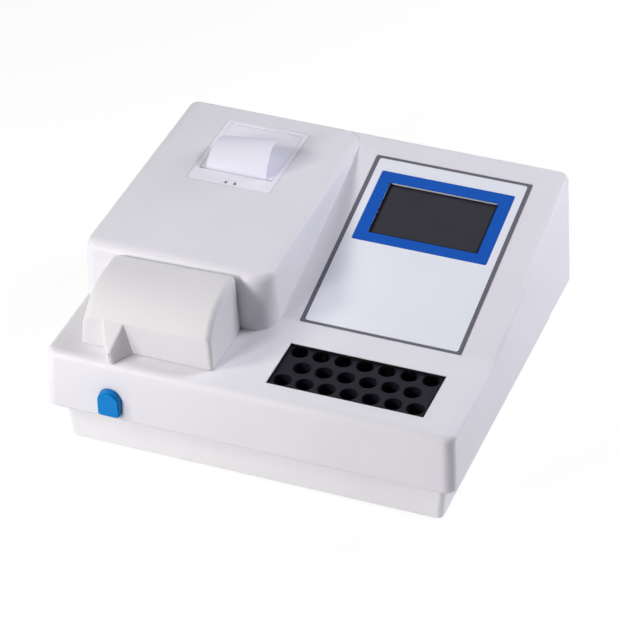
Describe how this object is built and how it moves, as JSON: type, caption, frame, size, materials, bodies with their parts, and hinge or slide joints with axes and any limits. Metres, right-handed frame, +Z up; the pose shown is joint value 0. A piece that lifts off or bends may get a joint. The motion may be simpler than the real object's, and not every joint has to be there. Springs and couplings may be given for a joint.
{
  "type": "benchtop chemistry analyzer",
  "caption": "Low moulded bench analyzer with a sloping touch panel, a strip printer in a raised housing, a hinged measuring cover, a block of sample wells and a round-topped key.",
  "frame": {"origin": "centre of the bounding box's base, on the bench under the feet", "axes": "+X to the operator's right, +Y to the back, +Z up; the key and the measuring cover face -Y"},
  "size_m": [0.368, 0.3524, 0.1786],
  "materials": {
    "case_plastic": "fine satin moulded plastic",
    "cover_plastic": "fine satin moulded plastic, a little warmer than the case",
    "white_plastic": "satin white moulded plastic",
    "black_plastic": "satin black moulded plastic",
    "blue_plastic": "glossy blue moulded plastic",
    "blue_film": "printed blue film",
    "pale_film": "printed pale film with a dark border",
    "screen": "dark screen, off",
    "circuit_board": "green lacquered board",
    "anodised_block": "black anodised",
    "heater_film": "polyimide film",
    "steel": "plain steel",
    "bare_aluminium": "bare aluminium",
    "brass": "plain brass",
    "black_rubber": "black rubber",
    "clear_glass": "clear",
    "silicone": "translucent silicone",
    "ceramic": "unglazed white ceramic",
    "paper": "plain thermal paper"
  },
  "bodies": {
    "case": {"upper_cover": "case_plastic", "base_tray": "case_plastic", "foot_front_left": "black_rubber", "foot_front_right": "black_rubber", "foot_rear_left": "black_rubber", "foot_rear_right": "black_rubber", "panel_overlay": "pale_film", "screen_surround": "blue_film", "lcd_module": "screen", "display_board": "circuit_board", "incubator_block": "anodised_block", "incubator_heater": "heater_film", "incubator_bracket": "steel", "hinge_post_left": "bare_aluminium", "hinge_post_right": "bare_aluminium", "hinge_rod": "steel", "measuring_bay": "black_plastic", "flow_cell_holder": "anodised_block", "flow_cell": "clear_glass", "sipper_tube": "silicone", "pump_head": "white_plastic", "drain_tube": "silicone", "pump_motor": "steel", "printer_frame": "white_plastic", "printer_motor": "steel", "thermal_head": "bare_aluminium", "key_switch": "black_plastic", "optic_bench": "bare_aluminium", "lens_tube": "anodised_block", "lens": "clear_glass", "filter_motor": "steel", "lamp_block": "bare_aluminium", "lamp_bulb": "clear_glass", "lamp_base": "ceramic", "photodetector": "circuit_board", "main_board": "circuit_board", "power_supply": "bare_aluminium", "fan_frame": "black_plastic", "inlet_module": "black_plastic", "inlet_pin_1": "brass", "inlet_pin_2": "brass", "inlet_pin_3": "brass", "serial_port": "steel", "drain_port": "white_plastic"},
    "cover": {"measuring_cover": "cover_plastic"},
    "key": {"aspirate_key": "blue_plastic"},
    "door": {"printer_door": "white_plastic", "paper_strip": "paper"},
    "platen": {"platen_roller": "black_rubber"},
    "drive": {"drive_gear": "brass"},
    "roll": {"paper_roll": "paper"},
    "tab": {"release_tab": "white_plastic"},
    "wheel": {"filter_wheel": "anodised_block"},
    "rotor": {"pump_rotor": "steel"},
    "roller_a": {"pump_roller_1": "white_plastic"},
    "roller_b": {"pump_roller_2": "white_plastic"},
    "roller_c": {"pump_roller_3": "white_plastic"},
    "fan": {"fan_rotor": "black_plastic"},
    "rocker": {"power_rocker": "black_plastic"}
  },
  "joints": [
    {"name": "cover_hinge", "type": "hinge", "parent": "case", "child": "cover", "pos_m": [-0.09772, -0.09275, 0.1458], "axis": [-1, 0, 0], "range_deg": [0, 95]},
    {"name": "key_press", "type": "slide", "parent": "case", "child": "key", "axis": [0, 1, 0], "range_m": [0, 0.0025], "stiffness_N_per_m": 500, "springref_m": -0.0015},
    {"name": "door_hinge", "type": "hinge", "parent": "case", "child": "door", "pos_m": [-0.09911, 0.13545, 0.1512], "axis": [-1, 0, 0], "range_deg": [0, 80]},
    {"name": "tab_press", "type": "slide", "parent": "case", "child": "tab", "axis": [0, 0, -1], "range_m": [0, 0.0015], "stiffness_N_per_m": 400, "springref_m": -0.0015},
    {"name": "platen_spin", "type": "hinge", "parent": "door", "child": "platen", "pos_m": [-0.09911, 0.06795, 0.1447], "axis": [1, 0, 0], "continuous": true},
    {"name": "drive_gear_spin", "type": "hinge", "parent": "case", "child": "drive", "pos_m": [-0.09911, 0.05964, 0.13866], "axis": [1, 0, 0], "continuous": true},
    {"name": "paper_roll_spin", "type": "hinge", "parent": "case", "child": "roll", "pos_m": [-0.09911, 0.10395, 0.1292], "axis": [1, 0, 0], "continuous": true},
    {"name": "filter_wheel_spin", "type": "hinge", "parent": "case", "child": "wheel", "pos_m": [-0.10092, -0.04125, 0.0856], "axis": [0, 1, 0], "continuous": true},
    {"name": "pump_rotor_spin", "type": "hinge", "parent": "case", "child": "rotor", "pos_m": [-0.06832, -0.12225, 0.0796], "axis": [0, 0, 1], "continuous": true},
    {"name": "pump_roller_1_spin", "type": "hinge", "parent": "rotor", "child": "roller_a", "pos_m": [-0.06472, -0.11601, 0.0796], "axis": [0, 0, 1], "continuous": true},
    {"name": "pump_roller_2_spin", "type": "hinge", "parent": "rotor", "child": "roller_b", "pos_m": [-0.07552, -0.12225, 0.0796], "axis": [0, 0, 1], "continuous": true},
    {"name": "pump_roller_3_spin", "type": "hinge", "parent": "rotor", "child": "roller_c", "pos_m": [-0.06472, -0.12848, 0.0796], "axis": [0, 0, 1], "continuous": true},
    {"name": "fan_spin", "type": "hinge", "parent": "case", "child": "fan", "pos_m": [0.021, 0.15395, 0.0974], "axis": [0, 1, 0], "continuous": true},
    {"name": "rocker_throw", "type": "hinge", "parent": "case", "child": "rocker", "pos_m": [0.118, 0.16295, 0.0939], "axis": [-1, 0, 0], "range_deg": [0, 20]}
  ],
  "couplings": [
    {"joint": "drive_gear_spin", "follows": "platen_spin", "ratio": -1.4286},
    {"joint": "paper_roll_spin", "follows": "platen_spin", "ratio": -0.25641},
    {"joint": "pump_roller_1_spin", "follows": "pump_rotor_spin", "ratio": -3.4688},
    {"joint": "pump_roller_2_spin", "follows": "pump_rotor_spin", "ratio": -3.4688},
    {"joint": "pump_roller_3_spin", "follows": "pump_rotor_spin", "ratio": -3.4688}
  ]
}
